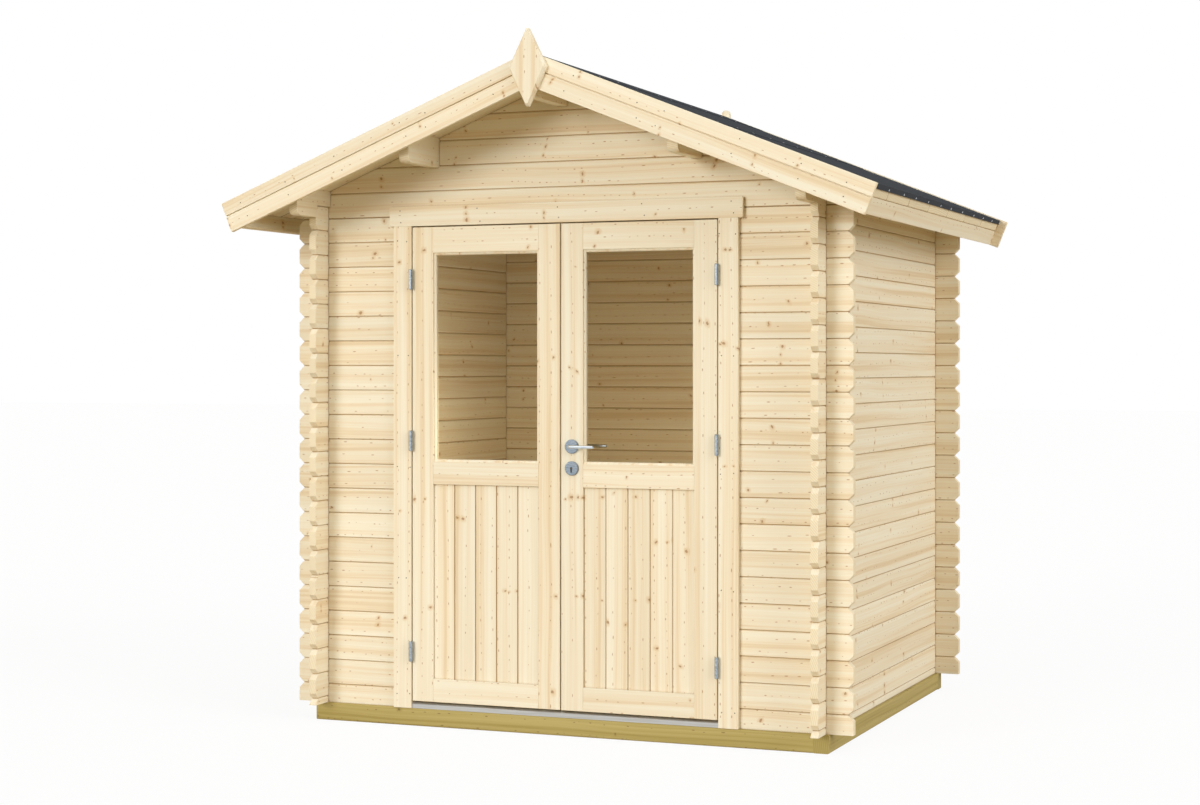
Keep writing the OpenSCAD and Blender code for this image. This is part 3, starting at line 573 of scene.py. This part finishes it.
def boards_in_a_row():
    """Lays copies of one board side by side, each up to Play out of line."""
    tree, given = tree_with("boards_in_a_row", [("Board", "Geometry"), ("Count", "Int"), ("Step", "Vector"),
                                                ("Play", "Vector"), ("Seed", "Int"), ("Finish", "Material")])
    row = add(tree, "GeometryNodeMeshLine", {"Count": given["Count"], "Offset": given["Step"]}, mode="OFFSET")
    back = add(tree, "ShaderNodeVectorMath", {0: given["Play"], "Scale": -1.0}, operation="SCALE")
    stray = add(tree, "FunctionNodeRandomValue", {0: back, 1: given["Play"], "Seed": given["Seed"]},
                data_type="FLOAT_VECTOR")
    laid = add(tree, "GeometryNodeSetPosition", {"Geometry": row, "Offset": stray})
    copies = add(tree, "GeometryNodeInstanceOnPoints", {"Points": laid, "Instance": given["Board"]})
    real = add(tree, "GeometryNodeRealizeInstances", {0: copies})
    done = add(tree, "GeometryNodeSetMaterial", {"Geometry": real, "Material": given["Finish"]})
    add(tree, "NodeGroupOutput", {0: done}, out=None)
    return tree


def nails_at_points():
    """Sets a domed nail head at every point, square to Facing and a little out of true."""
    tree, given = tree_with("nails_at_points", [("Points", "Geometry"), ("Width", "Float"),
                                                ("Height", "Float"), ("Facing", "Vector"),
                                                ("Play", "Vector"), ("Seed", "Int"), ("Finish", "Material")])
    back = add(tree, "ShaderNodeVectorMath", {0: given["Play"], "Scale": -1.0}, operation="SCALE")
    stray = add(tree, "FunctionNodeRandomValue", {0: back, 1: given["Play"], "Seed": given["Seed"]},
                data_type="FLOAT_VECTOR")
    driven = add(tree, "GeometryNodeSetPosition", {"Geometry": given["Points"], "Offset": stray})
    head = add(tree, "GeometryNodeMeshUVSphere", {"Segments": 10, "Rings": 5, "Radius": 0.5})
    size = add(tree, "ShaderNodeCombineXYZ", {0: given["Width"], 1: given["Width"], 2: given["Height"]})
    turn = add(tree, "FunctionNodeAlignRotationToVector", {"Vector": given["Facing"]}, axis="Z")
    heads = add(tree, "GeometryNodeInstanceOnPoints", {"Points": driven, "Instance": head, "Rotation": turn,
                                                       "Scale": size})
    real = add(tree, "GeometryNodeRealizeInstances", {0: heads})
    done = add(tree, "GeometryNodeSetMaterial", {"Geometry": real, "Material": given["Finish"]})
    add(tree, "NodeGroupOutput", {0: done}, out=None)
    return tree


def grown(mesh, tree, **values):
    """The plain mesh that a geometry tree makes of a mesh; its inputs are set by their identifiers."""
    holder = bpy.data.objects.new("holder", mesh)
    bpy.context.scene.collection.objects.link(holder)
    modifier = holder.modifiers.new("grown", "NODES")
    modifier.node_group = tree
    for item in tree.interface.items_tree:
        if item.in_out == "INPUT" and item.name in values:
            modifier[item.identifier] = values[item.name]
    shown = holder.evaluated_get(bpy.context.evaluated_depsgraph_get())
    made = bpy.data.meshes.new_from_object(shown)
    holder.modifiers.remove(modifier)
    bpy.data.objects.remove(holder)
    return made


board_row = boards_in_a_row()
nail_heads = nails_at_points()
STILL = (0.0, 0.0, 0.0)


def points_mesh(points):
    mesh = bpy.data.meshes.new("points")
    mesh.from_pydata(points, [], [])
    return mesh


# Roof boards run down the slope, with a small bevel along both lower edges and around their ends at the eave
BOARD_GAP = 1.6 * MM
TIGHT_GAP = 0.3 * MM
BOARD_BEVEL = 3 * MM
END_BEVEL = 4 * MM
FOOT_BEVEL = 4.5 * MM


def roof_plank(side, y0, y1, bevel0, bevel1):
    """One roof board; bevel0 and bevel1 are the bevels beside its end at the eave."""
    def section(share):
        left, right, low = y0 + share * bevel0, y1 - share * bevel1, share * FOOT_BEVEL
        return [(left + BOARD_BEVEL, low), (right - BOARD_BEVEL, low), (right, low + BOARD_BEVEL),
                (right, deck_t), (left, deck_t), (left, low + BOARD_BEVEL)]
    return loft([[on_slope(side, at_ridge(q), q, y) for y, q in section(0)],
                 [on_slope(side, slope_l - END_BEVEL, q, y) for y, q in section(0)],
                 [on_slope(side, slope_l, q, y) for y, q in section(1)]])


for side, word in ((1, "right"), (-1, "left")):
    group = []
    for i in range(GROUP_BOARDS):
        first, last = i == 0, i == GROUP_BOARDS - 1
        y0 = deck_low.y + i * roof_board
        group.append(roof_plank(side, y0, y0 + roof_board - (BOARD_GAP if last else TIGHT_GAP),
                                END_BEVEL if first else 0, END_BEVEL if last else 0))
    row = grown(joined(group), board_row, Count=ROOF_GROUPS, Step=(0, roof_group, 0), Play=STILL, Seed=1,
                Finish=roof_planks)
    piece(word + "_roof_planks", row, roof_planks, "root", [word + "_roof_boards"])

# Floor boards run across the joists; two short fillers close the strips beside the door frame
FLOOR_BEVEL = 1.5 * MM


def floor_strip(x, y):
    y0, y1 = y
    z0, z1 = floor_low.z, floor_high.z
    section = [(y0, z0), (y1, z0), (y1, z1 - FLOOR_BEVEL), (y1 - FLOOR_BEVEL, z1), (y0 + FLOOR_BEVEL, z1),
               (y0, z1 - FLOOR_BEVEL)]
    return loft([[Vector((end, v, z)) for v, z in section] for end in x])


first_strip = floor_strip((floor_low.x, floor_high.x), (floor_y, floor_y + floor_board - BOARD_GAP))
planks = grown(first_strip, board_row, Count=FLOOR_BOARDS, Step=(0, floor_board, 0), Play=STILL, Seed=2,
               Finish=floor_planks)
frame_x = jamb_high.x + FLOOR_PLAY
fillers = [floor_strip(x, (floor_low.y, floor_y - BOARD_GAP))
           for x in ((floor_low.x, -frame_x), (frame_x, floor_high.x))]
piece("floor_planks", joined([planks] + fillers), floor_planks, "root", ["floor_boards"])

# Roofing felt: an upper sheet laps over the lower one, and a strip folds over the ridge
# LAP_S and CAP_S are how far down the slope the two reach
LAP_S = 0.66
CAP_S = 0.17
SHEET_T = 1.7 * MM
RIDGE_PLAY = 2 * MM
RING_STEP = 0.044
felt_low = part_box("right_roof_felt")[0]
ring_count = round((felt_high.y - felt_low.y) / RING_STEP)
ring_places = [felt_low.y + (felt_high.y - felt_low.y) * i / ring_count for i in range(ring_count + 1)]
# The waves in a cut edge: height in mm, length in m over two pi, and start
EDGE_WAVES = ((2.2, 0.19, 0), (1.3, 0.071, 1))


def wave(y):
    """How far a felt edge strays from a straight line."""
    return MM * sum(height * math.sin(y / length + start) for height, length, start in EDGE_WAVES)


def upper_sheet(side):
    low, high = felt_q, felt_q + SHEET_T
    top = at_ridge(low) + RIDGE_PLAY
    return loft([[on_slope(side, top, low, y), on_slope(side, LAP_S + wave(y), low, y),
                  on_slope(side, LAP_S + wave(y), high, y), on_slope(side, top, high, y)]
                 for y in ring_places])


def ridge_strip():
    low, high = felt_q + SHEET_T, felt_q + 2 * SHEET_T
    return loft([[on_slope(-1, CAP_S + wave(y + 1), low, y), on_slope(1, at_ridge(low), low, y),
                  on_slope(1, CAP_S + wave(y), low, y), on_slope(1, CAP_S + wave(y), high, y),
                  on_slope(1, at_ridge(high), high, y), on_slope(-1, CAP_S + wave(y + 1), high, y)]
                 for y in ring_places])


piece("felt_laps", joined([upper_sheet(1), upper_sheet(-1), ridge_strip()]), felt, "root")

# Clout nails hold the felt's fold over the eaves and the edges of its sheets
CLOUT = {"Width": 9 * MM, "Height": 2.4 * MM, "Play": (0, 0.03, 0), "Finish": clout_zinc}
CLOUT_EDGE = 0.03
CLOUT_STEP = 0.19
clout_places = [felt_low.y + CLOUT_STEP * (i + 0.5) for i in range(round(2 * felt_high.y / CLOUT_STEP))]
clouts = []
for side in (1, -1):
    outward = on_slope(side, 1, 0, 0) - on_slope(side, 0, 0, 0)
    upward = on_slope(side, 0, 1, 0) - on_slope(side, 0, 0, 0)
    for s, q, facing, seed in ((slope_l + FELT_T, deck_t - FELT_FOLD / 2, outward, 3),
                               (LAP_S - CLOUT_EDGE, felt_q + SHEET_T, upward, 4),
                               (CAP_S - CLOUT_EDGE, felt_q + 2 * SHEET_T, upward, 5)):
        row = points_mesh([on_slope(side, s, q, y) for y in clout_places])
        clouts.append(grown(row, nail_heads, Facing=facing, Seed=seed, **CLOUT))
piece("felt_clouts", joined(clouts), clout_zinc, "root")

# Nails in the barge boards and casings, in pairs across the board; their places are shares of its length
NAIL = {"Width": 4.5 * MM, "Height": 1.2 * MM, "Play": (0.012, 0, 0.004), "Finish": nail_steel}
barge_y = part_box("front_upper_barge_boards")[0].y
casing_low, casing_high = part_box("door_side_casings")
head_low, head_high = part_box("door_head_casing")
BARGE_NAILS_S = (0.16, 0.44, 0.53, 0.82, 1.06, 1.24)
front_nails = [on_slope(side, s, q, barge_y) for side in (1, -1) for s in BARGE_NAILS_S
               for q in (felt_q / 2, -EDGE_H / 2)]
back_nails = [Vector((p.x, -p.y, p.z)) for p in front_nails]
casing_w = head_high.z - head_low.z
casing_x = casing_high.x - casing_w / 2
casing_h = casing_high.z - casing_low.z
head_z = (head_low.z + head_high.z) / 2
NAIL_PAIR = (-22 * MM, 22 * MM)
CASING_NAILS = (0.03, 0.27, 0.5, 0.73, 0.97)
HEAD_NAILS = (-0.94, -0.47, 0, 0.47, 0.94)
casing_nails = [Vector((side * casing_x + off, casing_low.y, casing_low.z + share * casing_h))
                for side in (1, -1) for off in NAIL_PAIR for share in CASING_NAILS]
head_nails = [Vector((share * head_high.x, head_low.y, head_z + off)) for share in HEAD_NAILS
              for off in NAIL_PAIR]
front_points = points_mesh(front_nails + casing_nails + head_nails)
nails = [grown(front_points, nail_heads, Facing=(0, -1, 0), Seed=6, **NAIL),
         grown(points_mesh(back_nails), nail_heads, Facing=(0, 1, 0), Seed=7, **NAIL)]
piece("board_nails", joined(nails), nail_steel, "root")

# Glazing beads: a mitred frame on each side of each pane
BEAD_W = 9 * MM
BEAD_D = 10 * MM
BEAD_CUT = 4 * MM


def bead(side, glass_face, out):
    """One frame of beads on a glass face; out is the way from the glass along Y."""
    section = [(0, 0), (0, BEAD_D), (BEAD_W - BEAD_CUT, BEAD_D), (BEAD_W, BEAD_D - BEAD_CUT), (BEAD_W, 0)]
    rings = []
    for i, k in ((0, 0), (1, 0), (1, 1), (0, 1)):
        x, z = pane_x[i], pane_z[k]
        in_x, in_z = 1 - 2 * i, 1 - 2 * k
        rings.append([Vector((side * (x + in_x * w), glass_face + out * d, z + in_z * w))
                      for w, d in section])
    return loft(rings, closed=True)


for side, word in ((1, "right"), (-1, "left")):
    beads = joined([bead(side, glass_low.y, -1), bead(side, glass_high.y, 1)])
    piece(word + "_glazing_beads", beads, uprights, word + "_leaf")

# Stage: a pale floor that keeps a faint shadow, and white surroundings for the camera and for reflections
FLOOR_SIZE = 60.0
floor_mesh = bpy.data.meshes.new("studio_floor")
floor_mesh.from_pydata([(x * FLOOR_SIZE, y * FLOOR_SIZE, 0) for x, y in ((-1, -1), (1, -1), (1, 1), (-1, 1))],
                       [], [(0, 1, 2, 3)])
floor = bpy.data.objects.new("studio_floor", floor_mesh)
bpy.context.scene.collection.objects.link(floor)
paper, tree, shader = material("white_paper")
floor_mesh.materials.append(paper)
shader.inputs["Base Color"].default_value = colour("f8fbff")
shader.inputs["Roughness"].default_value = 1.0
shader.inputs["Specular IOR Level"].default_value = 0.0


def seen_directly(tree):
    """1 for rays from the camera and for those that metal or glass sends on, 0 for scattered light."""
    ray = add(tree, "ShaderNodeLightPath", out=None)
    sent_on = add(tree, "ShaderNodeMath", {0: ray["Is Glossy Ray"], 1: ray["Is Transmission Ray"]},
                  operation="MAXIMUM")
    return add(tree, "ShaderNodeMath", {0: ray["Is Camera Ray"], 1: sent_on}, operation="MAXIMUM")


# The floor looks white with a faint shadow, and throws as much warm light up as bare ground does
PAPER_WHITE = 0.9
white = add(tree, "ShaderNodeEmission", {"Color": colour("ffffff"), "Strength": 1.0})
shown = add(tree, "ShaderNodeMixShader", {0: PAPER_WHITE, 1: shader.outputs[0], 2: white})
ground = add(tree, "ShaderNodeBsdfDiffuse", {"Color": colour("b2a07c")})
mixed = add(tree, "ShaderNodeMixShader", {0: seen_directly(tree), 1: ground, 2: shown})
cover(tree, mixed)

AMBIENT = 0.7
world = bpy.data.worlds.new("studio")
bpy.context.scene.world = world
world.use_nodes = True
tree = world.node_tree
tree.nodes.clear()
around = add(tree, "ShaderNodeBackground", {"Color": colour("fffaf2"), "Strength": AMBIENT})
backdrop = add(tree, "ShaderNodeBackground", {"Color": colour("ffffff"), "Strength": 1.0})
mixed = add(tree, "ShaderNodeMixShader", {0: seen_directly(tree), 1: around, 2: backdrop})
# Metal mirrors a bright front left and a grey right, which shows its round shape
BRIGHT_SIDE = (-0.5, -0.75, 0.4)
towards = add(tree, "ShaderNodeTexCoord", out="Generated")
frontal = add(tree, "ShaderNodeVectorMath", {0: towards, 1: BRIGHT_SIDE}, out="Value",
              operation="DOT_PRODUCT")
bright = add(tree, "ShaderNodeMapRange", {"Value": frontal, "From Min": 0.1, "From Max": 0.8, "To Min": 0.2,
                                          "To Max": 1.8}, interpolation_type="SMOOTHSTEP")
mirrored = add(tree, "ShaderNodeBackground", {"Color": colour("ffffff"), "Strength": bright})
glossy = add(tree, "ShaderNodeLightPath", out="Is Glossy Ray")
mixed = add(tree, "ShaderNodeMixShader", {0: glossy, 1: mixed, 2: mirrored})
add(tree, "ShaderNodeOutputWorld", {"Surface": mixed}, out=None)


def lamp(name, kind, place, aim, power, **settings):
    """A lamp at a place that points at another; neither the camera nor a mirror sees it."""
    data = bpy.data.lights.new(name, kind)
    data.energy = power
    for option, value in settings.items():
        setattr(data, option, value)
    made = bpy.data.objects.new(name, data)
    bpy.context.scene.collection.objects.link(made)
    made.location = place
    made.rotation_euler = (Vector(aim) - Vector(place)).to_track_quat("-Z", "Y").to_euler()
    made.visible_camera = False
    made.visible_glossy = False
    made.visible_transmission = False
    return made


# A soft key light from the front left and a wide fill light from the right
MIDDLE = (0, 0, 1)
lamp("key_light", "SUN", place=(-3.8, -8.4, 2.8), aim=MIDDLE, power=1.6, angle=math.radians(24))
lamp("fill_light", "SUN", place=(8.0, -2.2, 4.1), aim=MIDDLE, power=1.36, angle=math.radians(38))
# Daylight that the two panes let in, thrown on to the back of the room and on to its left wall
WINDOW_WARMTH = (1.0, 0.87, 0.66)
BEHIND_GLASS = 0.12
window_y = glass_high.y + BEHIND_GLASS
lamp("window_light", "AREA", place=(0.35, window_y, 0.7), aim=(0.5, 1, 0.75), power=2.85, shape="RECTANGLE",
     size=0.7, size_y=0.4, color=WINDOW_WARMTH, spread=math.radians(110))
lamp("window_side_light", "AREA", place=(0, window_y + 0.2, 0.95), aim=(-1, window_y + 0.3, 0.95), power=5.0,
     shape="RECTANGLE", size=0.4, size_y=0.6, color=WINDOW_WARMTH, spread=math.radians(120))

# Camera: in front and to the right at eye height, level, with the frame shifted down as in the photograph
CAMERA_PLACE = Vector((3.097, -8.0735, 1.3403))
CAMERA_YAW = 0.384
LENS = 65.34
FRAME_SHIFT = -0.0296
camera_data = bpy.data.cameras.new("camera")
camera_data.sensor_width = 36
camera_data.sensor_fit = "HORIZONTAL"
camera_data.lens = LENS
camera_data.shift_y = FRAME_SHIFT
camera = bpy.data.objects.new("camera", camera_data)
camera.location = CAMERA_PLACE
camera.rotation_euler = (math.pi / 2, 0, CAMERA_YAW)
bpy.context.scene.collection.objects.link(camera)
bpy.context.scene.camera = camera
bpy.context.scene.view_settings.view_transform = "Standard"
